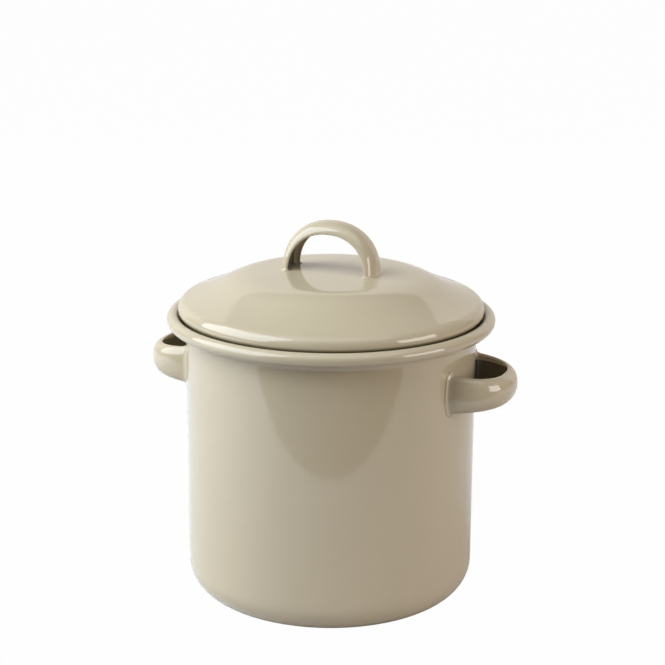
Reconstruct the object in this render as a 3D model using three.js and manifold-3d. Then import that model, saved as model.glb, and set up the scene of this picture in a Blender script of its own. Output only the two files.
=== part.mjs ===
// Garlic keeper: a small enamelled steel pot with a lift-off domed lid.
// Millimetres, +Z up. The origin is the centre of the base, on the surface that the pot stands on.
// The front faces -Y and the two side handles lie along X.
import * as THREE from "three";
import { mergeVertices } from "three/addons/utils/BufferGeometryUtils.js";
import Module from "manifold-3d";

// Driving dimensions of the pot. The rim stands out beyond the wall by its overhang.
const potDiameter = 140;
const potHeight = 140;
const rimOverhang = 9;
const potSheet = 1.2;
const cornerRadius = 14.5;
const beadRadius = 3.15;
const beadTurn = 285;
const neckRadius = 18;
const flareAngle = 30;

// Driving dimensions of the recessed base. The foot ring runs from the corner's bend in to the recess.
const baseRecess = 1;
const footRingWidth = 7.5;
const baseStepRadius = 2;

// Driving dimensions of the vent holes in the back wall
const ventDiameter = 6;
const ventPitch = 12;
const ventHeight = 78;
const ventsRound = 6;

// Driving dimensions of the lid, its rings measured inwards from the one outside them
const lidRimInset = 5.4;
const lidSheet = 1.2;
const domeRadius = 560;
const domeInset = 14.1;
const valleyInset = 22.5;
const valleySlope = 27.7;
const shoulderSlope = 18.8;
const lidEdgeRadius = 5.1;
const skirtLength = 1.6;

// Driving dimensions of the pressed strap that all three handles are bent from
const strapSheet = 1.5;
const strapTipWidth = 14.6;
const strapTipRoundness = 2.4;
const strapFootWidth = 19;
const strapFootRoundness = 4;
const footFlare = 0.6;
const footFlareLength = 4;

// Driving dimensions of the side handles, measured to the strap's inner lips. Their drop is from the
// top of the rim to the middle of the strap.
const sideHandleDrop = 29.4;
const sideHandleHalfSpan = 20.5;
const sideHandleReach = 16.9;
const sideHandleRoundness = 2.42;
const sideHandleTipDepth = 5.3;
const sideHandleFootDepth = 3;

// Driving dimensions of the lid handle, measured to the strap's inner lips
const lidHandleHalfSpan = 19.4;
const lidHandleRise = 18.3;
const lidHandleRoundness = 2.2;
const lidHandleTipDepth = 5.8;
const lidHandleFootDepth = 4;

// Clearances and the one overrun that every cut and buried foot has
const seatGap = 0.3;
const overrun = 4;

// Facets: how far a bend's facets may lie off its curve, and their counts round the pot, along a strap,
// across a strap and round a vent
const bendTolerance = 0.07;
const roundSteps = 56;
const archSteps = 24;
const sectionSteps = 10;
const ventSteps = 16;

// Depth of a strap's rounded lip, as a share of its sheet
const lipShare = 0.4;

const potRadius = potDiameter / 2;
const rimRadius = potRadius + rimOverhang;
const { degToRad } = THREE.MathUtils;

const wasm = await Module();
wasm.setup();

function toSolid(geometry) {
  const bare = geometry.clone();
  bare.deleteAttribute("normal");
  bare.deleteAttribute("uv");
  const merged = mergeVertices(bare);
  const triVerts = new Uint32Array(merged.index.array);
  const vertProperties = merged.attributes.position.array;
  return new wasm.Manifold(new wasm.Mesh({ numProp: 3, vertProperties, triVerts }));
}

function toGeometry(solid) {
  const { vertProperties, triVerts } = solid.getMesh();
  const geometry = new THREE.BufferGeometry();
  geometry.setAttribute("position", new THREE.BufferAttribute(vertProperties, 3));
  geometry.setIndex(new THREE.BufferAttribute(triVerts, 1));
  geometry.computeVertexNormals();
  return geometry;
}

// The direction square to a heading, on its left
function leftOf(heading) {
  return new THREE.Vector2(-Math.sin(heading), Math.cos(heading));
}

// A pen that draws one face of a bent sheet in the (radius, height) plane.
// It marks its place and heading, so the other face can be set off square to the first.
class Pen {
  constructor(radius, height) {
    this.at = new THREE.Vector2(radius, height);
    this.heading = 0;
    this.marks = [];
    this.mark();
  }

  mark() {
    this.marks.push({ at: this.at.clone(), heading: this.heading });
  }

  forward(length) {
    const step = new THREE.Vector2(Math.cos(this.heading), Math.sin(this.heading));
    this.at.addScaledVector(step, length);
    this.mark();
    return this;
  }

  // Positive angles bend to the left, negative ones to the right.
  bend(radius, angle) {
    const steps = Math.ceil(Math.abs(angle) / (2 * Math.acos(1 - bendTolerance / radius)));
    const reach = Math.sign(angle) * radius;
    const centre = this.at.clone().addScaledVector(leftOf(this.heading), reach);
    for (let step = 0; step < steps; step += 1) {
      this.heading += angle / steps;
      this.at.copy(centre).addScaledVector(leftOf(this.heading), -reach);
      this.mark();
    }
    return this;
  }
}

// The closed outline of a sheet: the drawn face, then the face set off to its left by the thickness
function sheetOutline(marks, thickness) {
  const drawn = marks.map(({ at }) => at.clone());
  const setOff = marks.map(({ at, heading }) => at.clone().addScaledVector(leftOf(heading), thickness));
  return [...drawn, ...setOff.reverse()];
}

function revolve(outline) {
  return new THREE.LatheGeometry(outline, roundSteps).rotateX(Math.PI / 2);
}

// Pot body: the pen draws the outer face from the middle of the base to the end of the rolled rim.
const curlRadius = beadRadius - potSheet;
const beadCentre = new THREE.Vector2(rimRadius - beadRadius, potHeight - beadRadius);
const flare = degToRad(flareAngle);

function drawPot() {
  const stepAngle = Math.acos(1 - baseRecess / (2 * baseStepRadius));
  const stepSpan = 2 * baseStepRadius * Math.sin(stepAngle);
  const panelRadius = potRadius - cornerRadius - footRingWidth;
  const curlStart = beadCentre.clone().addScaledVector(leftOf(Math.PI / 2 - flare), curlRadius);
  const seatLength = (curlStart.x - potRadius - neckRadius * (1 - Math.cos(flare))) / Math.sin(flare);
  const neckHeight = curlStart.y - seatLength * Math.cos(flare) - neckRadius * Math.sin(flare);
  const pen = new Pen(0, baseRecess);
  pen.forward(panelRadius);
  pen.bend(baseStepRadius, -stepAngle).bend(baseStepRadius, stepAngle);
  pen.forward(footRingWidth - stepSpan);
  pen.bend(cornerRadius, Math.PI / 2);
  pen.forward(neckHeight - cornerRadius);
  pen.bend(neckRadius, -flare);
  pen.forward(seatLength);
  pen.bend(curlRadius, -degToRad(beadTurn));
  return pen.marks;
}

function ventCutters() {
  const radius = ventDiameter / 2;
  const length = potSheet + 2 * overrun;
  const places = [new THREE.Vector2(0, 0)];
  for (let vent = 0; vent < ventsRound; vent += 1) {
    const angle = (2 * Math.PI * vent) / ventsRound;
    places.push(new THREE.Vector2(Math.cos(angle), Math.sin(angle)).multiplyScalar(ventPitch));
  }
  return places.map(({ x, y }) => {
    const drill = new THREE.CylinderGeometry(radius, radius, length, ventSteps);
    return toSolid(drill.translate(x, potRadius - potSheet / 2, ventHeight + y));
  });
}

function potBodyGeometry() {
  let body = toSolid(revolve(sheetOutline(drawPot(), potSheet)));
  for (const cutter of ventCutters()) body = body.subtract(cutter);
  return toGeometry(body);
}

// Lid shell: the pen draws the inner face from the crown outwards. Each bend joins two slopes.
const lidRadius = rimRadius - lidRimInset;
const valleyRadius = lidRadius - valleyInset;
const domeEdge = valleyRadius - domeInset;

function drawLid() {
  const crown = Math.asin(domeEdge / domeRadius);
  const valley = degToRad(valleySlope);
  const shoulder = degToRad(shoulderSlope);
  const shoulderRadius = lidRadius - lidEdgeRadius * (1 - Math.sin(shoulder));
  const dropRadius = domeInset / (Math.sin(valley) - Math.sin(crown));
  const riseRadius = (shoulderRadius - valleyRadius) / (Math.sin(valley) - Math.sin(shoulder));
  const pen = new Pen(0, -lidSheet);
  pen.bend(domeRadius - lidSheet, -crown);
  pen.bend(dropRadius - lidSheet, -(valley - crown));
  pen.bend(riseRadius + lidSheet, valley - shoulder);
  pen.bend(lidEdgeRadius - lidSheet, -(Math.PI / 2 - shoulder + flare));
  pen.forward(skirtLength);
  return pen.marks;
}

const lidMarks = drawLid();
const lidOutline = sheetOutline(lidMarks, lidSheet);

// The lid's outer face, from the foot of its skirt in to the crown
const lidFace = lidOutline.slice(lidMarks.length);

// Height of the lid's crown with its skirt one seat gap clear of the pot's flared seat
function lidHeight() {
  const square = leftOf(Math.PI / 2 - flare);
  const seat = beadCentre.clone().addScaledVector(square, beadRadius + seatGap);
  const skirt = lidFace[0];
  return seat.y - skirt.y - (seat.x - skirt.x) / Math.tan(flare);
}

// The lid with everything under its outer face filled in, to cut the feet that stand on it
function filledLidOutline() {
  const skirt = lidFace[0];
  const floor = skirt.y - overrun;
  return [new THREE.Vector2(0, floor), new THREE.Vector2(skirt.x, floor), ...lidFace];
}

// Straps: a channel section carried along an arch that stands on the XY plane and spans X.
function rounded(value, roundness) {
  return Math.sign(value) * Math.abs(value) ** (2 / roundness);
}

// The channel's outline: its outer face, one lip, its inner face and the other lip.
function channelSection({ width, depth, roundness, flared }) {
  const face = (halfWidth, height) => {
    const points = [];
    for (let step = 0; step <= sectionSteps; step += 1) {
      const angle = (Math.PI * step) / sectionSteps;
      const across = halfWidth * rounded(Math.cos(angle), roundness);
      const up = height * rounded(Math.sin(angle), roundness);
      points.push(new THREE.Vector2(across, up));
    }
    return points;
  };
  const lip = new THREE.Vector2((width - strapSheet + flared) / 2, -strapSheet * lipShare);
  const outer = face(width / 2 + flared, depth + flared);
  const inner = face(width / 2 - strapSheet, depth - strapSheet).reverse();
  return [...outer, new THREE.Vector2(-lip.x, lip.y), ...inner, lip];
}

// A closed body through rings of points, with both ends capped
function loft(rings, capFaces) {
  const count = rings[0].length;
  const positions = rings.flat().flatMap((point) => point.toArray());
  const triangles = [];
  for (let ring = 0; ring < rings.length - 1; ring += 1) {
    for (let side = 0; side < count; side += 1) {
      const next = (side + 1) % count;
      const [a, b] = [ring * count + side, ring * count + next];
      triangles.push(a, b, b + count, a, b + count, a + count);
    }
  }
  const last = (rings.length - 1) * count;
  for (const [a, b, c] of capFaces) triangles.push(a, c, b, last + a, last + b, last + c);
  const geometry = new THREE.BufferGeometry();
  geometry.setAttribute("position", new THREE.Float32BufferAttribute(positions, 3));
  geometry.setIndex(triangles);
  return geometry;
}

// The strap widens, flattens and flares from its tip to its feet. seat is the height at which it meets
// what carries it, and its feet run on below the XY plane, to be cut to that surface.
function strapGeometry({ halfSpan, rise, roundness, tipDepth, footDepth, seat }) {
  const archPoint = (share) => {
    const angle = Math.PI * share;
    const along = -halfSpan * rounded(Math.cos(angle), roundness);
    return new THREE.Vector2(along, rise * rounded(Math.sin(angle), roundness));
  };
  const rings = [];
  let caps = [];
  const addRing = (at, outward) => {
    const tip = Math.max(at.y / rise, 0);
    const near = Math.max(1 - (at.y - seat) / footFlareLength, 0);
    const section = channelSection({
      width: THREE.MathUtils.lerp(strapFootWidth, strapTipWidth, tip),
      depth: THREE.MathUtils.lerp(footDepth, tipDepth, tip),
      roundness: THREE.MathUtils.lerp(strapFootRoundness, strapTipRoundness, tip),
      flared: footFlare * near * near,
    });
    caps = THREE.ShapeUtils.triangulateShape(section, []);
    rings.push(
      section.map(({ x: across, y: up }) => {
        return new THREE.Vector3(at.x + outward.x * up, across, at.y + outward.y * up);
      }),
    );
  };
  const buried = new THREE.Vector2(0, -overrun);
  addRing(archPoint(0).add(buried), new THREE.Vector2(-1, 0));
  for (let step = 0; step <= archSteps; step += 1) {
    const share = step / archSteps;
    const before = archPoint(Math.max(share - 0.5 / archSteps, 0));
    const after = archPoint(Math.min(share + 0.5 / archSteps, 1));
    const along = after.sub(before).normalize();
    addRing(archPoint(share), new THREE.Vector2(-along.y, along.x));
  }
  addRing(archPoint(1).add(buried), new THREE.Vector2(1, 0));
  return loft(rings, caps);
}

// Side handle: the arch lies level on the pot's right side, its feet cut to the round wall.
function sideHandleGeometry() {
  const outerSpan = sideHandleHalfSpan + sideHandleFootDepth;
  const springing = Math.sqrt(potRadius ** 2 - outerSpan ** 2) - strapSheet;
  const lipSeat = Math.sqrt(potRadius ** 2 - sideHandleHalfSpan ** 2) - springing;
  const strap = strapGeometry({
    halfSpan: sideHandleHalfSpan,
    rise: potRadius + sideHandleReach - springing,
    roundness: sideHandleRoundness,
    tipDepth: sideHandleTipDepth,
    footDepth: sideHandleFootDepth,
    seat: lipSeat,
  });
  const lieLevel = new THREE.Matrix4().makeBasis(
    new THREE.Vector3(0, 1, 0),
    new THREE.Vector3(0, 0, 1),
    new THREE.Vector3(1, 0, 0),
  );
  strap.applyMatrix4(lieLevel).translate(springing, 0, potHeight - sideHandleDrop);
  const wallRadius = potRadius + seatGap;
  const wall = new THREE.CylinderGeometry(wallRadius, wallRadius, potHeight, roundSteps);
  wall.rotateX(Math.PI / 2).translate(0, 0, potHeight / 2);
  return toGeometry(toSolid(strap).subtract(toSolid(wall)));
}

// Lid handle: the arch stands on the dome, its feet cut to it. The lid's crown is at height zero here.
function lidHandleGeometry() {
  const sagAt = (radius) => domeRadius - Math.sqrt(domeRadius ** 2 - radius ** 2);
  const springing = -sagAt(lidHandleHalfSpan + lidHandleFootDepth) - strapSheet;
  const strap = strapGeometry({
    halfSpan: lidHandleHalfSpan,
    rise: lidHandleRise - springing,
    roundness: lidHandleRoundness,
    tipDepth: lidHandleTipDepth,
    footDepth: lidHandleFootDepth,
    seat: -sagAt(lidHandleHalfSpan) - springing,
  });
  const filledLid = revolve(filledLidOutline()).translate(0, 0, seatGap);
  return toGeometry(toSolid(strap.translate(0, 0, springing)).subtract(toSolid(filledLid)));
}

const enamel = new THREE.MeshStandardMaterial({ color: 0xcbc1aa, roughness: 0.12, metalness: 0 });

function piece(name, geometry) {
  const mesh = new THREE.Mesh(geometry, enamel.clone());
  mesh.name = name;
  return mesh;
}

const keeper = new THREE.Group();
keeper.add(piece("pot_body", potBodyGeometry()));
const sideHandle = sideHandleGeometry();
for (const [side, turn] of [["right", 0], ["left", Math.PI]]) {
  const handle = piece(`side_handle_${side}`, sideHandle);
  handle.rotation.z = turn;
  keeper.add(handle);
}

const lid = new THREE.Group();
lid.position.z = lidHeight();
lid.add(piece("lid_shell", revolve(lidOutline)));
lid.add(piece("lid_handle", lidHandleGeometry()));
keeper.add(lid);

export default keeper;
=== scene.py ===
import math

import bmesh
import bpy
from mathutils import Matrix, Vector


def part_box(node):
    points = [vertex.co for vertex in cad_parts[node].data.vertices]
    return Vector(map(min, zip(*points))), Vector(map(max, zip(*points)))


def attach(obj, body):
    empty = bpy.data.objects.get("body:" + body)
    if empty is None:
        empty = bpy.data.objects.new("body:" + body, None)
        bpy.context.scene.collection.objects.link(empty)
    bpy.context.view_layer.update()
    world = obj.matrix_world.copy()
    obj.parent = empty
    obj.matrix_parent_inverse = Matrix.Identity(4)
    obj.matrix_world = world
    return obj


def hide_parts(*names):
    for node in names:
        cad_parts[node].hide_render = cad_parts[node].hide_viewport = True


bl_info = {
    "name": "Garlic keeper",
    "version": (1, 0, 0),
    "blender": (4, 5, 0),
    "location": "3D View > Sidebar > Garlic keeper",
    "description": "Models an enamelled garlic keeper piece by piece, with its stage",
    "category": "Add Mesh",
}

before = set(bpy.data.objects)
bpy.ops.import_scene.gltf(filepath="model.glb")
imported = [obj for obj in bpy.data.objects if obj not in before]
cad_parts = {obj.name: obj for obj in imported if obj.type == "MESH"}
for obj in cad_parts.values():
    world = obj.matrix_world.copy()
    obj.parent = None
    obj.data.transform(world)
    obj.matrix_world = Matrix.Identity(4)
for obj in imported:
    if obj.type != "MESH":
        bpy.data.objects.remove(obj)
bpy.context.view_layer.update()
CROWN_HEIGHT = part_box("lid_shell")[1].z
UP = Vector((0, 0, 1))
WHITE = (1, 1, 1, 1)

# Corners along a full circle round the Z axis
ROUND_STEPS = 256
# Points nearer to each other than this count as one
SAME_PLACE = 0.000001
# Points of the drilled pot nearer than this are merged, which closes the short edges at the vents
SHORT_EDGE = 0.00015
ENAMEL_IOR = 1.52
# How far one seed moves the enamel's pattern
PATTERN_STEP = (0.37, 0.21, 0.53)
SENSOR_WIDTH = 36
LAMP_TARGET = Vector((0, 0, 0.12))


def length(name, description, default):
    """A length that a user can change, in metres."""
    return bpy.props.FloatProperty(
        name=name, description=description, default=default, min=0, precision=5, unit="LENGTH"
    )


def angle(name, description, degrees):
    """An angle that a user can change."""
    return bpy.props.FloatProperty(
        name=name, description=description, default=math.radians(degrees), subtype="ANGLE"
    )


def number(name, description, default):
    """A plain number that a user can change."""
    return bpy.props.FloatProperty(name=name, description=description, default=default, precision=3)


class PotSizes(bpy.types.PropertyGroup):
    """Sizes of the pot body."""

    diameter: length("Body diameter", "Outside diameter of the straight wall", 0.14)
    height: length("Height", "From the base to the top of the rim", 0.1396)
    rim_diameter: length("Rim diameter", "Outside diameter of the rolled rim", 0.1579)
    sheet: length("Sheet", "Thickness of the enamelled sheet", 0.0012)
    corner_radius: length("Corner radius", "Outside radius between base and wall", 0.0145)
    bead_radius: length("Bead radius", "Outside radius of the rolled rim's section", 0.00315)
    bead_turn: angle("Bead turn", "How far the rim is rolled", 285)
    neck_radius: length("Neck radius", "Bend between the wall and the lid's seat", 0.004)
    flare: angle("Flare", "Slope of the lid's seat, from upright", 30)
    recess: length("Base recess", "Depth of the recessed base", 0.001)
    panel_diameter: length("Base panel", "Diameter of the recessed base", 0.096)
    step_radius: length("Base step radius", "Bends round the recessed base", 0.002)
    vent_diameter: length("Vent diameter", "Diameter of each vent hole", 0.006)
    vent_pitch: length("Vent pitch", "From the middle hole to the holes round it", 0.012)
    vent_height: length("Vent height", "Height of the middle hole", 0.078)
    vents_round: bpy.props.IntProperty(
        name="Vents round the middle", description="Holes round the middle hole", default=6, min=1
    )
    soft_edge: length("Soft edge", "How far the enamel rounds a cut edge", 0.00035)


class LidSizes(bpy.types.PropertyGroup):
    """Sizes of the lid shell."""

    crown_height: length("Crown height", "Height of the lid's middle above the base", CROWN_HEIGHT)
    diameter: length("Diameter", "Outside diameter", 0.147)
    sheet: length("Sheet", "Thickness of the enamelled sheet", 0.0012)
    dome_radius: length("Dome radius", "Outside radius of the shallow middle", 0.56)
    dome_diameter: length("Dome diameter", "Diameter of the shallow middle", 0.074)
    valley_diameter: length("Valley diameter", "Where the slope is steepest", 0.1022)
    valley_slope: angle("Valley slope", "Slope there", 27.7)
    shoulder_slope: angle("Shoulder slope", "Slope where the rounded edge starts", 18.8)
    edge_radius: length("Edge radius", "Outside radius of the rounded edge", 0.0051)
    skirt: length("Skirt", "Length of the turned-in skirt below the edge", 0.0016)
    soft_edge: length("Soft edge", "How far the enamel rounds a cut edge", 0.00035)


class StrapSizes(bpy.types.PropertyGroup):
    """Sizes of the pressed strap that all three handles are bent from."""

    sheet: length("Sheet", "Thickness of the enamelled sheet", 0.0015)
    tip_width: length("Width at the tip", "Width in the middle of the handle", 0.0146)
    tip_roundness: number("Roundness at the tip", "2 is an ellipse, more is squarer", 2.25)
    foot_width: length("Width at the feet", "Width where the handle stands", 0.019)
    foot_roundness: number("Roundness at the feet", "2 is an ellipse, more is squarer", 2.7)


class SideHandleSizes(bpy.types.PropertyGroup):
    """Sizes of the side handles, to the strap's inner lips."""

    height: length("Height", "Height of the strap's middle line", 0.1106)
    half_span: length("Half span", "Half the width of the arch", 0.0205)
    reach: length("Reach", "How far the arch stands out from the wall", 0.0169)
    roundness: number("Arch roundness", "2 is an ellipse, more is squarer", 2.42)
    tip_depth: length("Depth at the tip", "Depth of the channel in the middle", 0.0053)
    foot_depth: length("Depth at the feet", "Depth of the channel at the wall", 0.003)
    fillet: length("Fillet", "How far the enamel spreads at the wall", 0.0018)


class LidHandleSizes(bpy.types.PropertyGroup):
    """Sizes of the lid handle, to the strap's inner lips."""

    half_span: length("Half span", "Half the width of the arch", 0.0194)
    rise: length("Rise", "How far the arch stands above the crown", 0.0183)
    roundness: number("Arch roundness", "2 is an ellipse, more is squarer", 2.2)
    tip_depth: length("Depth at the tip", "Depth of the channel in the middle", 0.0058)
    foot_depth: length("Depth at the feet", "Depth of the channel at the lid", 0.004)
    fillet: length("Fillet", "How far the enamel spreads at the lid", 0.0009)


class EnamelLook(bpy.types.PropertyGroup):
    """Colour and finish of the enamel, and the colour of its painted shade."""

    colour: bpy.props.FloatVectorProperty(
        name="Colour",
        description="Colour of the enamel",
        subtype="COLOR",
        size=3,
        min=0,
        max=1,
        default=(0.49, 0.41, 0.286),
    )
    # Painted shade: a dark colour that stands in for the shade deep in the handles' channels and in the
    # groove under the lid's edge
    painted_shade_colour: bpy.props.FloatVectorProperty(
        name="Painted shade colour",
        description="Colour painted as shade inside the handles and at the lid's edge",
        subtype="COLOR",
        size=3,
        min=0,
        max=1,
        default=(0.1, 0.08, 0.04),
    )
    inner_roughness: number("Inner roughness", "How dull it is inside the handles", 0.35)
    # Painted shade: the lid is darkened below this height, standing in for the shadow in the groove
    # between its edge and the rim
    painted_shade_height: length("Painted shade height", "Height below which the lid's edge is painted dark as shade", 0.1402)
    painted_shade_fade: length("Painted shade fade", "Height over which the painted shade fades in there", 0.0018)
    roughness: number("Roughness", "Roughness of the fired surface", 0.07)
    mottle: number("Mottle", "Strength of the soft cloudiness in the colour", 0.05)
    fleck: number("Fleck", "Strength of the fine flecks in the colour", 0.08)
    ripple: length("Ripple", "Height of the slow ripple in the surface", 0.00003)


class StageLook(bpy.types.PropertyGroup):
    """Camera, floor and lamps."""

    azimuth: angle("Camera azimuth", "From the front towards the right handle", 20.2)
    elevation: angle("Camera elevation", "Above the horizon", 15.55)
    roll: angle("Camera roll", "Turn about the line of sight", 0.355)
    distance: length("Camera distance", "From the target", 0.8526)
    target_height: length("Target height", "Height that the camera looks at", 0.12815)
    target_side: length("Target side step", "How far right of the axis the camera looks", 0.0007)
    lens: number("Lens", "Focal length in millimetres on a 36 mm sensor", 95.47)
    floor_front: length("Floor front edge", "From the axis to the edge nearest the camera", 0.282)
    floor_size: length("Floor size", "Width and depth of the floor", 6)


GROUPS = {
    "keeper_pot": PotSizes,
    "keeper_lid": LidSizes,
    "keeper_strap": StrapSizes,
    "keeper_side_handle": SideHandleSizes,
    "keeper_lid_handle": LidHandleSizes,
    "keeper_enamel": EnamelLook,
    "keeper_stage": StageLook,
}


# Modelling helpers


def deselect_all():
    """Nothing is selected afterwards, so that an operator acts only on what is added next."""
    if bpy.context.mode != "OBJECT":
        bpy.ops.object.mode_set(mode="OBJECT")
    bpy.ops.object.select_all(action="DESELECT")


def make_active(piece):
    """Selects one object and makes it the active one."""
    deselect_all()
    piece.select_set(True)
    bpy.context.view_layer.objects.active = piece


def name_active(name):
    """Names the active object and its mesh."""
    piece = bpy.context.active_object
    piece.name = name
    piece.data.name = name
    return piece


def edit(piece):
    """Goes into edit mode on one object, with all of it selected."""
    make_active(piece)
    bpy.ops.object.mode_set(mode="EDIT")
    bpy.ops.mesh.select_mode(type="VERT")
    bpy.ops.mesh.select_all(action="SELECT")


def pick(test):
    """Selects the vertices of the edited mesh that pass a test of their place."""
    mesh = bpy.context.active_object.data
    shape = bmesh.from_edit_mesh(mesh)
    for vertex in shape.verts:
        vertex.select = test(vertex.co)
    shape.select_mode = {"VERT"}
    shape.select_flush_mode()
    bmesh.update_edit_mesh(mesh)


def turn(rotation, axis):
    """Turns the selection about the origin by the right-hand rule."""
    bpy.ops.transform.rotate(
        value=-rotation, orient_axis=axis, orient_type="GLOBAL", center_override=(0, 0, 0)
    )


def face_towards(place, direction):
    """Turns the whole edited mesh inside out if its face nearest a place looks away from a direction."""
    shape = bmesh.from_edit_mesh(bpy.context.active_object.data)
    nearest = min(shape.faces, key=lambda face: (face.calc_center_median() - place).length)
    if nearest.normal.dot(direction) < 0:
        bpy.ops.mesh.select_all(action="SELECT")
        bpy.ops.mesh.flip_normals()


def apply_modifier(piece, kind, **settings):
    """Adds a modifier, sets it and applies it."""
    make_active(piece)
    bpy.ops.object.modifier_add(type=kind)
    modifier = piece.modifiers[-1]
    for setting, value in settings.items():
        setattr(modifier, setting, value)
    bpy.ops.object.modifier_apply(modifier=modifier.name)


def remove(piece):
    """Deletes a helper object and its mesh."""
    mesh = piece.data
    bpy.data.objects.remove(piece)
    bpy.data.meshes.remove(mesh)


class ProfilePen:
    """Draws a bent sheet's section in the XZ plane, extruding one vertex along straights and bends."""

    def __init__(self, name, radius, height):
        deselect_all()
        self.start = Vector((radius, 0, height))
        bpy.ops.mesh.primitive_plane_add(size=0.001)
        self.piece = name_active(name)
        edit(self.piece)
        bpy.ops.mesh.merge(type="CENTER")
        bpy.ops.transform.translate(value=(radius, 0, height))
        self.at = self.start.copy()
        self.heading = 0.0

    def ahead(self):
        """The direction in which the pen draws."""
        return Vector((math.cos(self.heading), 0, math.sin(self.heading)))

    def left(self):
        """The direction to the left of the pen, seen with Z up and X to the right."""
        return Vector((-math.sin(self.heading), 0, math.cos(self.heading)))

    def forward(self, distance, parts):
        """Draws a straight in equal parts."""
        step = self.ahead() * (distance / parts)
        for _ in range(parts):
            bpy.ops.mesh.extrude_vertices_move(TRANSFORM_OT_translate={"value": step})
            self.at += step

    def bend(self, radius, rotation, parts):
        """Bends to the left by a positive rotation and to the right by a negative one."""
        reach = math.copysign(radius, rotation)
        centre = self.at + self.left() * reach
        bpy.ops.mesh.spin(steps=parts, angle=rotation, center=centre, axis=(0, 1, 0))
        self.heading += rotation
        self.at = centre - self.left() * reach

    def revolve(self):
        """Spins the section round the Z axis, with the sheet's drawn face looking to the pen's right."""
        bpy.ops.mesh.select_all(action="SELECT")
        bpy.ops.mesh.spin(steps=ROUND_STEPS, angle=2 * math.pi, center=(0, 0, 0), axis=(0, 0, 1))
        bpy.ops.mesh.select_all(action="SELECT")
        bpy.ops.mesh.remove_doubles(threshold=SAME_PLACE)
        bpy.ops.mesh.select_all(action="SELECT")
        bpy.ops.mesh.normals_make_consistent(inside=False)
        face_towards(self.start, -UP)
        return self.piece


def thicken(piece, sheet):
    """Gives a drawn face its sheet thickness, on the side that it looks away from."""
    apply_modifier(piece, "SOLIDIFY", thickness=sheet, offset=-1, use_even_offset=True)


def soften_edges(piece, soft_edge):
    """Rounds the cut edges of the sheet, as the enamel does, and smooths the shading."""
    apply_modifier(
        piece, "BEVEL", width=soft_edge, segments=3, limit_method="ANGLE", angle_limit=math.radians(50)
    )
    make_active(piece)
    bpy.ops.object.shade_smooth()
    apply_modifier(piece, "WEIGHTED_NORMAL", weight=80, keep_sharp=False)


def draw_pot(sizes):
    """The pot's outer face, from the middle of the base to the end of the rolled rim."""
    radius = sizes.diameter / 2
    curl = sizes.bead_radius - sizes.sheet
    bead = Vector((sizes.rim_diameter / 2 - sizes.bead_radius, 0, sizes.height - sizes.bead_radius))
    step_angle = math.acos(1 - sizes.recess / (2 * sizes.step_radius))
    step_span = 2 * sizes.step_radius * math.sin(step_angle)
    foot_width = radius - sizes.corner_radius - sizes.panel_diameter / 2 - step_span
    curl_start = bead + Vector((-math.cos(sizes.flare), 0, math.sin(sizes.flare))) * curl
    neck_reach = sizes.neck_radius * (1 - math.cos(sizes.flare))
    seat = (curl_start.x - radius - neck_reach) / math.sin(sizes.flare)
    neck_height = (
        curl_start.z - seat * math.cos(sizes.flare) - sizes.neck_radius * math.sin(sizes.flare)
    )
    pen = ProfilePen("enamelled_pot", 0, sizes.recess)
    pen.forward(sizes.panel_diameter / 2, parts=8)
    pen.bend(sizes.step_radius, -step_angle, parts=4)
    pen.bend(sizes.step_radius, step_angle, parts=4)
    pen.forward(foot_width, parts=2)
    pen.bend(sizes.corner_radius, math.pi / 2, parts=12)
    pen.forward(neck_height - sizes.corner_radius, parts=46)
    pen.bend(sizes.neck_radius, -sizes.flare, parts=6)
    pen.forward(seat, parts=2)
    pen.bend(curl, -sizes.bead_turn, parts=26)
    return pen.revolve()


def drill_vents(pot, sizes):
    """Cuts the vent holes through the back wall."""
    deselect_all()
    drill_length = 8 * sizes.sheet
    places = [Vector((0, 0, sizes.vent_height))]
    for vent in range(sizes.vents_round):
        turned = 2 * math.pi * vent / sizes.vents_round
        offset = Vector((math.cos(turned), 0, math.sin(turned))) * sizes.vent_pitch
        places.append(places[0] + offset)
    drills = []
    for place in places:
        bpy.ops.mesh.primitive_cylinder_add(
            vertices=48,
            radius=sizes.vent_diameter / 2,
            depth=drill_length,
            location=place + Vector((0, sizes.diameter / 2, 0)),
            rotation=(math.pi / 2, 0, 0),
        )
        drills.append(bpy.context.active_object)
    deselect_all()
    for drill in drills:
        drill.select_set(True)
    bpy.context.view_layer.objects.active = drills[0]
    bpy.ops.object.join()
    apply_modifier(pot, "BOOLEAN", object=drills[0], operation="DIFFERENCE", solver="EXACT")
    remove(drills[0])
    edit(pot)
    bpy.ops.mesh.remove_doubles(threshold=SHORT_EDGE)


def draw_lid(sizes):
    """The lid's inner face, from its crown to the foot of its skirt."""
    crown = math.asin(sizes.dome_diameter / 2 / sizes.dome_radius)
    edge = sizes.diameter / 2 - sizes.edge_radius
    shoulder_radius = edge + sizes.edge_radius * math.sin(sizes.shoulder_slope)
    drop = (sizes.valley_diameter - sizes.dome_diameter) / 2
    drop /= math.sin(sizes.valley_slope) - math.sin(crown)
    rise = shoulder_radius - sizes.valley_diameter / 2
    rise /= math.sin(sizes.valley_slope) - math.sin(sizes.shoulder_slope)
    edge_turn = math.pi / 2 - sizes.shoulder_slope + bpy.context.scene.keeper_pot.flare
    pen = ProfilePen("enamelled_lid", 0, sizes.crown_height - sizes.sheet)
    pen.bend(sizes.dome_radius - sizes.sheet, -crown, parts=12)
    pen.bend(drop - sizes.sheet, crown - sizes.valley_slope, parts=14)
    pen.bend(rise + sizes.sheet, sizes.valley_slope - sizes.shoulder_slope, parts=12)
    pen.bend(sizes.edge_radius - sizes.sheet, -edge_turn, parts=16)
    pen.forward(sizes.skirt, parts=2)
    return pen.revolve()


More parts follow.
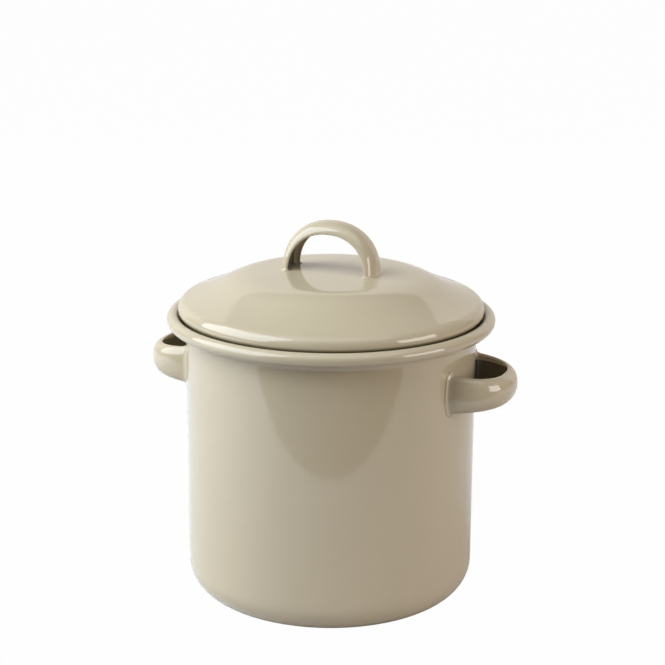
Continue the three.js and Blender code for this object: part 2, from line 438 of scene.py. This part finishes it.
def add_section(strap, width, depth, roundness):
    """Adds the strap's channel section round the origin: across X, with its crown towards +Y.

    It is drawn two units wide and one unit deep, and then scaled to its size. While it is that
    large, its points are told from those of the finished sections by their distance.
    """
    half = 0.5
    # The channel's two lips lie on y = 0, lower than this
    lip_height = 0.01
    # Anything farther out than this belongs to the section that is being drawn
    drawn = 0.3
    # The inner line of that section lies nearer than this, and the outer line farther out
    outer_line = 0.9
    bpy.ops.mesh.select_all(action="DESELECT")
    bpy.ops.mesh.primitive_plane_add(size=2)
    pick(lambda place: place.length > drawn and place.y < 0)
    bpy.ops.transform.translate(value=(0, 1, 0))
    bpy.ops.mesh.delete(type="EDGE_FACE")
    pick(lambda place: place.y > half)
    bpy.ops.mesh.bevel(
        offset=1, segments=6, profile=0.5 ** (2 / roundness), affect="VERTICES", clamp_overlap=True
    )
    pick(lambda place: place.length > drawn)
    bpy.ops.mesh.remove_doubles(threshold=0.001)
    pick(lambda place: place.length > drawn)
    bpy.ops.mesh.duplicate()
    narrower = 1 - strap.sheet / (width / 2)
    shallower = 1 - strap.sheet / depth
    bpy.ops.transform.resize(value=(narrower, shallower, 1), center_override=(0, 0, 0))
    pick(lambda place: drawn < place.length < outer_line and abs(place.x) < half)
    bpy.ops.object.vertex_group_assign()
    for side in (-1, 1):
        pick(lambda place: place.y < lip_height and place.x * side > half)
        bpy.ops.mesh.edge_face_add()
    pick(lambda place: place.length > drawn)
    bpy.ops.transform.resize(value=(width / 2, depth, 1), center_override=(0, 0, 0))


def superellipse(span, rise, roundness, phase):
    """A point of the arch in the YZ plane, from its left foot at phase 0 to its right one at pi."""
    phase = min(max(phase, 0), math.pi)
    share = 2 / roundness
    along = -math.copysign(abs(math.cos(phase)) ** share, math.cos(phase)) * span
    return Vector((0, along, max(math.sin(phase), 0) ** share * rise))


def arch_stations(handle, rise, buried):
    """Places along the arch with the slope there, and two more straight below each foot."""
    steps = 28
    near_feet = [0, 0.02, 0.05, 0.08]
    chord = 0.05
    phases = near_feet + [math.pi * step / steps for step in range(1, steps)]
    phases += [math.pi - phase for phase in reversed(near_feet)]
    stations = []
    for phase in phases:
        place = superellipse(handle.half_span, rise, handle.roundness, phase)
        back = superellipse(handle.half_span, rise, handle.roundness, phase - chord)
        on = superellipse(handle.half_span, rise, handle.roundness, phase + chord)
        along = (on - back).normalized()
        stations.append((place, math.atan2(along.z, along.y)))
    down = Vector((0, 0, -buried / 2))
    for _ in range(2):
        stations.insert(0, (stations[0][0] + down, math.pi / 2))
        stations.append((stations[-1][0] + down, -math.pi / 2))
    return stations


def bend_strap(name, strap, handle, rise, buried):
    """A strap bent along an arch in the YZ plane, standing on z = 0 with its feet run on below it."""
    deselect_all()
    bpy.ops.mesh.primitive_plane_add(size=1)
    piece = name_active(name)
    edit(piece)
    bpy.ops.mesh.delete(type="VERT")
    bpy.ops.object.vertex_group_add()
    piece.vertex_groups[0].name = "inside"
    foot_end = -0.75 * buried
    for index, (place, slope) in enumerate(arch_stations(handle, rise, buried)):
        tip = max(place.z / rise, 0)
        add_section(
            strap,
            strap.foot_width + (strap.tip_width - strap.foot_width) * tip,
            handle.foot_depth + (handle.tip_depth - handle.foot_depth) * tip,
            strap.foot_roundness + (strap.tip_roundness - strap.foot_roundness) * tip,
        )
        turn(math.pi / 2 + slope, "X")
        bpy.ops.transform.translate(value=place)
        if index:
            bpy.ops.mesh.select_non_manifold()
            bpy.ops.mesh.bridge_edge_loops()
        if index == 1:
            pick(lambda corner: corner.y < 0 and corner.z < foot_end)
            bpy.ops.mesh.edge_face_add()
    bpy.ops.mesh.select_all(action="DESELECT")
    bpy.ops.mesh.select_non_manifold()
    bpy.ops.mesh.edge_face_add()
    bpy.ops.mesh.select_all(action="SELECT")
    bpy.ops.mesh.normals_make_consistent(inside=False)
    apply_modifier(piece, "SUBSURF", levels=2, render_levels=2)
    return piece


def paint_channel_shade(piece, look):
    """Paints dark shade on the inside of a handle's channel, where the deep channel lies in shade."""
    channel_shade_material = enamel_material("Painted channel shade", look, look.painted_shade_colour, look.inner_roughness, seed=6)
    piece.data.materials.append(channel_shade_material)
    edit(piece)
    bpy.ops.mesh.select_all(action="DESELECT")
    piece.vertex_groups.active_index = piece.vertex_groups["inside"].index
    bpy.ops.object.vertex_group_select()
    piece.active_material_index = 1
    bpy.ops.object.material_slot_assign()
    make_active(piece)
    piece.vertex_groups.clear()


def spread_feet(piece, target, sunk, fillet):
    """Lets the enamel spread in a concave fillet round a handle's feet.

    It spreads fully where the target's face is as near as sunk, and not at all a band farther out.
    This is done twice, the second time in a narrower band, so that the feet run out along the sheet.
    """
    for steepness in (1, 2.5):
        band = 1.5 * fillet / steepness
        edit(piece)
        bpy.ops.object.vertex_group_add()
        bpy.ops.object.vertex_group_assign()
        piece.vertex_groups[-1].name = "feet"
        make_active(piece)
        bpy.ops.object.modifier_add(type="VERTEX_WEIGHT_PROXIMITY")
        near = piece.modifiers[-1]
        near.vertex_group = "feet"
        near.target = target
        near.proximity_mode = "GEOMETRY"
        near.proximity_geometry = {"FACE"}
        near.min_dist = sunk + band
        near.max_dist = sunk
        near.falloff_type = "SHARP"
        bpy.ops.object.modifier_apply(modifier=near.name)
        apply_modifier(piece, "DISPLACE", vertex_group="feet", strength=fillet / 2, mid_level=0)
        bpy.ops.object.vertex_group_remove()


# Materials


def new_group(name, inputs, outputs):
    """An empty shader node group with named sockets, and its input and output nodes."""
    group = bpy.data.node_groups.new(name, "ShaderNodeTree")
    for socket, kind, default in inputs:
        made = group.interface.new_socket(name=socket, in_out="INPUT", socket_type=kind)
        if default is not None:
            made.default_value = default
    for socket, kind in outputs:
        group.interface.new_socket(name=socket, in_out="OUTPUT", socket_type=kind)
    start = group.nodes.new("NodeGroupInput")
    end = group.nodes.new("NodeGroupOutput")
    start.location = (-900, 0)
    end.location = (600, 0)
    return group, start, end


def place_node(tree, kind, x, y, **settings):
    """Adds a node at a place in the editor and sets its properties."""
    node = tree.nodes.new(kind)
    node.location = (x, y)
    for setting, value in settings.items():
        setattr(node, setting, value)
    return node


def add_noise(tree, y, scale, detail):
    """Adds a noise texture at a height in the editor."""
    texture = place_node(tree, "ShaderNodeTexNoise", -700, y)
    texture.inputs["Scale"].default_value = scale
    texture.inputs["Detail"].default_value = detail
    return texture


def add_swing(tree, texture, strength, y):
    """1 plus the texture's swing about its middle, times a strength."""
    centred = place_node(tree, "ShaderNodeMath", -450, y, operation="SUBTRACT")
    centred.inputs[1].default_value = 0.5
    scaled = place_node(tree, "ShaderNodeMath", -250, y, operation="MULTIPLY_ADD")
    scaled.inputs[2].default_value = 1
    tree.links.new(texture.outputs["Fac"], centred.inputs[0])
    tree.links.new(centred.outputs[0], scaled.inputs[0])
    tree.links.new(strength, scaled.inputs[1])
    return scaled.outputs[0]


def add_painted_shade(tree, start):
    """The enamel's colour, which gives way to a painted shade colour between two heights."""
    shade_ramp = place_node(tree, "ShaderNodeMapRange", -700, 650, interpolation_type="SMOOTHSTEP")
    shaded_colour = place_node(tree, "ShaderNodeMix", -300, 600, data_type="RGBA")
    link = tree.links.new
    link(start.outputs["Level"], shade_ramp.inputs["Value"])
    link(start.outputs["Shade starts"], shade_ramp.inputs["From Min"])
    link(start.outputs["Shade full"], shade_ramp.inputs["From Max"])
    link(shade_ramp.outputs["Result"], shaded_colour.inputs["Factor"])
    link(start.outputs["Colour"], shaded_colour.inputs["A"])
    link(start.outputs["Shade tone"], shaded_colour.inputs["B"])
    return shaded_colour.outputs["Result"]


def fired_enamel_group():
    """Cloudiness, flecks and ripple of fired enamel, read from a place on the piece, with painted shade
    below a given height.
    """
    found = bpy.data.node_groups.get("Fired enamel")
    if found:
        return found
    group, start, end = new_group(
        "Fired enamel",
        [
            ("Place", "NodeSocketVector", None),
            ("Level", "NodeSocketFloat", 0),
            ("Colour", "NodeSocketColor", (0.5, 0.5, 0.5, 1)),
            ("Shade tone", "NodeSocketColor", (0.1, 0.1, 0.1, 1)),
            ("Shade starts", "NodeSocketFloat", -1),
            ("Shade full", "NodeSocketFloat", -2),
            ("Roughness", "NodeSocketFloat", 0.1),
            ("Mottle", "NodeSocketFloat", 0.05),
            ("Fleck", "NodeSocketFloat", 0.05),
        ],
        [
            ("Colour", "NodeSocketColor"),
            ("Roughness", "NodeSocketFloat"),
            ("Height", "NodeSocketFloat"),
        ],
    )
    link = group.links.new
    cloud = add_noise(group, 300, scale=28, detail=3)
    fine = add_noise(group, 0, scale=1500, detail=1)
    peel = add_noise(group, -300, scale=190, detail=1.5)
    for texture in (cloud, fine, peel):
        link(start.outputs["Place"], texture.inputs["Vector"])
    product = place_node(group, "ShaderNodeMath", -50, 150, operation="MULTIPLY")
    link(add_swing(group, cloud, start.outputs["Mottle"], 300), product.inputs[0])
    link(add_swing(group, fine, start.outputs["Fleck"], 0), product.inputs[1])
    toned = place_node(group, "ShaderNodeVectorMath", 150, 200, operation="SCALE")
    link(add_painted_shade(group, start), toned.inputs[0])
    link(product.outputs[0], toned.inputs["Scale"])
    link(toned.outputs["Vector"], end.inputs["Colour"])
    patchy = place_node(group, "ShaderNodeMapRange", -50, -50)
    patchy.inputs["To Min"].default_value = 0.8
    patchy.inputs["To Max"].default_value = 1.25
    rough = place_node(group, "ShaderNodeMath", 150, -50, operation="MULTIPLY")
    link(cloud.outputs["Fac"], patchy.inputs["Value"])
    link(start.outputs["Roughness"], rough.inputs[0])
    link(patchy.outputs["Result"], rough.inputs[1])
    link(rough.outputs[0], end.inputs["Roughness"])
    link(peel.outputs["Fac"], end.inputs["Height"])
    return group


def enamel_material(name, look, colour, roughness, seed):
    """A fired enamel, with its pattern stepped aside by a seed."""
    material = bpy.data.materials.new(name)
    material.use_nodes = True
    tree = material.node_tree
    tree.nodes.clear()
    link = tree.links.new
    where = place_node(tree, "ShaderNodeTexCoord", -900, 0)
    step = place_node(tree, "ShaderNodeMapping", -700, 0)
    step.inputs["Location"].default_value = [seed * part for part in PATTERN_STEP]
    enamel = place_node(tree, "ShaderNodeGroup", -450, 0, node_tree=fired_enamel_group())
    enamel.name = "Fired enamel"
    enamel.inputs["Colour"].default_value = (*colour, 1)
    enamel.inputs["Shade tone"].default_value = (*look.painted_shade_colour, 1)
    enamel.inputs["Roughness"].default_value = roughness
    enamel.inputs["Mottle"].default_value = look.mottle
    enamel.inputs["Fleck"].default_value = look.fleck
    bump = place_node(tree, "ShaderNodeBump", -200, -250)
    bump.inputs["Strength"].default_value = 1
    bump.inputs["Distance"].default_value = look.ripple
    shader = place_node(tree, "ShaderNodeBsdfPrincipled", 50, 0)
    shader.inputs["IOR"].default_value = ENAMEL_IOR
    out = place_node(tree, "ShaderNodeOutputMaterial", 350, 0)
    level = place_node(tree, "ShaderNodeSeparateXYZ", -700, -300)
    link(where.outputs["Object"], level.inputs["Vector"])
    link(level.outputs["Z"], enamel.inputs["Level"])
    link(where.outputs["Object"], step.inputs["Vector"])
    link(step.outputs["Vector"], enamel.inputs["Place"])
    link(enamel.outputs["Colour"], shader.inputs["Base Color"])
    link(enamel.outputs["Roughness"], shader.inputs["Roughness"])
    link(enamel.outputs["Height"], bump.inputs["Height"])
    link(bump.outputs["Normal"], shader.inputs["Normal"])
    link(shader.outputs["BSDF"], out.inputs["Surface"])
    return material


def dress(piece, node, body, seed):
    """Gives a piece its enamel and puts it on the frame in a node's place."""
    look = bpy.context.scene.keeper_enamel
    material = enamel_material(node + "_enamel", look, look.colour, look.roughness, seed)
    piece.data.materials.clear()
    piece.data.materials.append(material)
    # Painted shade on the lid's edge below a height, standing in for the shadow in the groove at the rim
    if node == "lid_shell":
        enamel = material.node_tree.nodes["Fired enamel"]
        enamel.inputs["Shade starts"].default_value = look.painted_shade_height + look.painted_shade_fade / 2
        enamel.inputs["Shade full"].default_value = look.painted_shade_height - look.painted_shade_fade / 2
    # Painted shade inside each handle's channel, standing in for the shade deep in it
    if "inside" in piece.vertex_groups:
        paint_channel_shade(piece, look)
    make_active(piece)
    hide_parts(node)
    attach(piece, body)


# Pieces


class KEEPER_OT_pot(bpy.types.Operator):
    """Models the pot body with its recessed base, rolled rim and vent holes"""

    bl_idname = "keeper.pot"
    bl_label = "Pot body"

    def execute(self, context):
        sizes = context.scene.keeper_pot
        pot = draw_pot(sizes)
        thicken(pot, sizes.sheet)
        soften_edges(pot, sizes.soft_edge)
        drill_vents(pot, sizes)
        soften_edges(pot, sizes.soft_edge)
        dress(pot, "pot_body", "pot", seed=1)
        return {"FINISHED"}


class KEEPER_OT_lid(bpy.types.Operator):
    """Models the domed lid shell with its valley, rounded edge and skirt"""

    bl_idname = "keeper.lid"
    bl_label = "Lid shell"

    def execute(self, context):
        sizes = context.scene.keeper_lid
        lid = draw_lid(sizes)
        thicken(lid, sizes.sheet)
        soften_edges(lid, sizes.soft_edge)
        dress(lid, "lid_shell", "lid", seed=2)
        return {"FINISHED"}


class KEEPER_OT_side_handles(bpy.types.Operator):
    """Models one side handle, cuts its feet to the wall and copies it to the other side"""

    bl_idname = "keeper.side_handles"
    bl_label = "Side handles"

    def execute(self, context):
        strap = context.scene.keeper_strap
        handle = context.scene.keeper_side_handle
        pot = context.scene.keeper_pot
        radius = pot.diameter / 2
        outer_span = handle.half_span + handle.foot_depth
        springing = math.sqrt(radius**2 - outer_span**2) - strap.sheet
        rise = radius + handle.reach - springing
        right = bend_strap("side_strap_right", strap, handle, rise, buried=0.006)
        edit(right)
        turn(math.pi / 2, "Y")
        bpy.ops.transform.translate(value=(springing, 0, handle.height))
        deselect_all()
        bpy.ops.mesh.primitive_cylinder_add(
            vertices=ROUND_STEPS,
            radius=radius - pot.sheet / 2,
            depth=pot.height / 2,
            location=(0, 0, handle.height),
        )
        wall = bpy.context.active_object
        spread_feet(right, wall, pot.sheet / 2, handle.fillet)
        apply_modifier(
            right, "BOOLEAN", object=wall, operation="DIFFERENCE", solver="EXACT", use_self=True
        )
        remove(wall)
        make_active(right)
        bpy.ops.object.shade_smooth()
        bpy.ops.object.duplicate()
        left = name_active("side_strap_left")
        edit(left)
        turn(math.pi, "Z")
        dress(right, "side_handle_right", "pot", seed=3)
        dress(left, "side_handle_left", "pot", seed=4)
        return {"FINISHED"}


class KEEPER_OT_lid_handle(bpy.types.Operator):
    """Models the arched handle that stands on the lid"""

    bl_idname = "keeper.lid_handle"
    bl_label = "Lid handle"

    def execute(self, context):
        strap = context.scene.keeper_strap
        handle = context.scene.keeper_lid_handle
        lid = context.scene.keeper_lid
        rise = handle.rise + strap.sheet
        sunk = 0.1 * lid.sheet
        cut_depth = 0.8 * lid.sheet
        arch = bend_strap("lid_strap", strap, handle, rise, buried=0.004)
        edit(arch)
        turn(math.pi / 2, "Z")
        bpy.ops.transform.translate(value=(0, 0, lid.crown_height - strap.sheet))
        spread_feet(arch, bpy.data.objects["enamelled_lid"], sunk, handle.fillet)
        edit(arch)
        bpy.ops.mesh.bisect(
            plane_co=(0, 0, lid.crown_height - cut_depth),
            plane_no=(0, 0, 1),
            use_fill=True,
            clear_inner=True,
            threshold=SAME_PLACE,
        )
        make_active(arch)
        bpy.ops.object.shade_smooth()
        dress(arch, "lid_handle", "lid", seed=5)
        return {"FINISHED"}


# Stage


def stage_direction(azimuth, elevation):
    """The direction of an azimuth and an elevation: azimuth 0 is the front and 90 degrees is +X."""
    return Vector(
        (
            math.sin(azimuth) * math.cos(elevation),
            -math.cos(azimuth) * math.cos(elevation),
            math.sin(elevation),
        )
    )


def add_camera(look):
    """The camera at the reference view."""
    back = stage_direction(look.azimuth, look.elevation)
    right = Vector((math.cos(look.azimuth), math.sin(look.azimuth), 0))
    up = back.cross(right)
    place = UP * look.target_height + right * look.target_side + back * look.distance
    rolled_right = right * math.cos(look.roll) + up * math.sin(look.roll)
    rolled_up = up * math.cos(look.roll) - right * math.sin(look.roll)
    turned = Matrix((rolled_right, rolled_up, back)).transposed()
    bpy.ops.object.camera_add(location=place, rotation=turned.to_euler())
    camera = bpy.context.active_object
    camera.name = "camera"
    camera.data.sensor_width = SENSOR_WIDTH
    camera.data.lens = look.lens
    bpy.context.scene.camera = camera


def add_softbox(name, azimuth, elevation, width, height, brightness, warmth=0, distance=1):
    """An area lamp that faces the object, at an azimuth counted from the front."""
    back = stage_direction(azimuth, elevation)
    bpy.ops.object.light_add(
        type="AREA",
        location=LAMP_TARGET + back * distance,
        rotation=back.to_track_quat("Z", "Y").to_euler(),
    )
    lamp = bpy.context.active_object
    lamp.name = name
    lamp.data.shape = "RECTANGLE"
    lamp.data.size = width
    lamp.data.size_y = height
    lamp.data.color = (1, 1 - warmth / 2, 1 - warmth)
    lamp.data.energy = brightness * math.pi * width * height
    lamp.visible_camera = False


def floor_material():
    """Nearly white to the camera, pale where the enamel mirrors it, and darker to all other light."""
    plain_shade = (0.4, 0.35, 0.3, 1)
    mirrored_shade = (0.9, 0.9, 0.9, 1)
    glow_share = 0.985
    material = bpy.data.materials.new("Floor")
    material.use_nodes = True
    tree = material.node_tree
    tree.nodes.clear()
    path = place_node(tree, "ShaderNodeLightPath", -700, 300)
    shade = place_node(tree, "ShaderNodeMix", -500, 0, data_type="RGBA")
    shade.inputs["A"].default_value = plain_shade
    shade.inputs["B"].default_value = mirrored_shade
    diffuse = place_node(tree, "ShaderNodeBsdfDiffuse", -300, 0)
    glow = place_node(tree, "ShaderNodeEmission", -300, -200)
    glow.inputs["Color"].default_value = WHITE
    glow.inputs["Strength"].default_value = 1
    share = place_node(tree, "ShaderNodeMath", -200, 300, operation="MULTIPLY")
    share.inputs[1].default_value = glow_share
    mix = place_node(tree, "ShaderNodeMixShader", 0, 0)
    out = place_node(tree, "ShaderNodeOutputMaterial", 200, 0)
    link = tree.links.new
    link(path.outputs["Is Glossy Ray"], shade.inputs["Factor"])
    link(shade.outputs["Result"], diffuse.inputs["Color"])
    link(path.outputs["Is Camera Ray"], share.inputs[0])
    link(share.outputs[0], mix.inputs["Fac"])
    link(diffuse.outputs["BSDF"], mix.inputs[1])
    link(glow.outputs["Emission"], mix.inputs[2])
    link(mix.outputs["Shader"], out.inputs["Surface"])
    return material


class KEEPER_OT_stage(bpy.types.Operator):
    """Adds the floor, the pale surroundings, the lamps and the camera"""

    bl_idname = "keeper.stage"
    bl_label = "Stage"

    def execute(self, context):
        look = context.scene.keeper_stage
        deselect_all()
        self.add_floor(look)
        self.light_world()
        self.add_lamps(look)
        add_camera(look)
        return {"FINISHED"}

    def add_lamps(self, look):
        """A wide softbox on the left, one overhead, a window and a fill on the right, a sheet behind."""
        left = look.azimuth - math.radians(77)
        add_softbox(
            "left_softbox", left, math.radians(32), width=1.22, height=1, brightness=4.45, warmth=-0.23
        )
        above = math.radians(66)
        add_softbox(
            "overhead_softbox", look.azimuth, above, width=1.3, height=0.75, brightness=1.15, warmth=-0.06
        )
        window = look.azimuth + math.radians(64)
        add_softbox(
            "window", window, math.radians(10), width=0.56, height=0.46, brightness=6, warmth=0.1
        )
        right = look.azimuth + math.radians(105)
        add_softbox("right_fill", right, math.radians(25), width=0.9, height=0.8, brightness=0.2)
        add_softbox(
            "back_sheet",
            look.azimuth + math.pi,
            math.radians(18),
            width=3,
            height=1.05,
            brightness=0.75,
            warmth=0.12,
            distance=1.2,
        )

    def add_floor(self, look):
        """A white table whose front edge is a little way in front of the pot."""
        bpy.ops.mesh.primitive_plane_add(size=look.floor_size)
        floor = name_active("floor")
        edit(floor)
        bpy.ops.transform.translate(value=(0, look.floor_size / 2 - look.floor_front, 0))
        turn(look.azimuth, "Z")
        deselect_all()
        floor.data.materials.append(floor_material())

    def light_world(self):
        """White to the camera, and a dim room to the surfaces."""
        room_light = 0.08
        world = bpy.data.worlds.new("Studio")
        bpy.context.scene.world = world
        world.use_nodes = True
        tree = world.node_tree
        tree.nodes.clear()
        path = place_node(tree, "ShaderNodeLightPath", -400, 0)
        seen = place_node(tree, "ShaderNodeMix", -200, 0, data_type="FLOAT")
        seen.inputs["A"].default_value = room_light
        seen.inputs["B"].default_value = 1
        back = place_node(tree, "ShaderNodeBackground", 0, 0)
        back.inputs["Color"].default_value = WHITE
        out = place_node(tree, "ShaderNodeOutputWorld", 200, 0)
        tree.links.new(path.outputs["Is Camera Ray"], seen.inputs["Factor"])
        tree.links.new(seen.outputs["Result"], back.inputs["Strength"])
        tree.links.new(back.outputs["Background"], out.inputs["Surface"])


# Sidebar and registration


class KEEPER_PT_panel(bpy.types.Panel):
    """Lists the pieces and their sizes in the sidebar."""

    bl_idname = "KEEPER_PT_panel"
    bl_label = "Garlic keeper"
    bl_space_type = "VIEW_3D"
    bl_region_type = "UI"
    bl_category = "Garlic keeper"

    def draw(self, context):
        """A button for each operator, and a box of sliders for each group of sizes."""
        for operator in OPERATORS:
            self.layout.operator(operator.bl_idname)
        for name, group in GROUPS.items():
            box = self.layout.box()
            box.label(text=group.__doc__.rstrip("."))
            for setting in group.__annotations__:
                box.prop(getattr(context.scene, name), setting)


OPERATORS = (
    KEEPER_OT_pot,
    KEEPER_OT_side_handles,
    KEEPER_OT_lid,
    KEEPER_OT_lid_handle,
    KEEPER_OT_stage,
)
CLASSES = (*GROUPS.values(), *OPERATORS, KEEPER_PT_panel)


def register():
    """Adds the classes and hangs each group of settings on the scene."""
    for cls in CLASSES:
        bpy.utils.register_class(cls)
    for name, group in GROUPS.items():
        setattr(bpy.types.Scene, name, bpy.props.PointerProperty(type=group))


def unregister():
    """Takes away what register added."""
    for name in GROUPS:
        delattr(bpy.types.Scene, name)
    for cls in reversed(CLASSES):
        bpy.utils.unregister_class(cls)


def main():
    """Builds every piece and the stage."""
    register()
    bpy.context.scene.view_settings.view_transform = "Standard"
    bpy.ops.keeper.pot()
    bpy.ops.keeper.side_handles()
    bpy.ops.keeper.lid()
    bpy.ops.keeper.lid_handle()
    bpy.ops.keeper.stage()


if __name__ == "__main__":
    main()
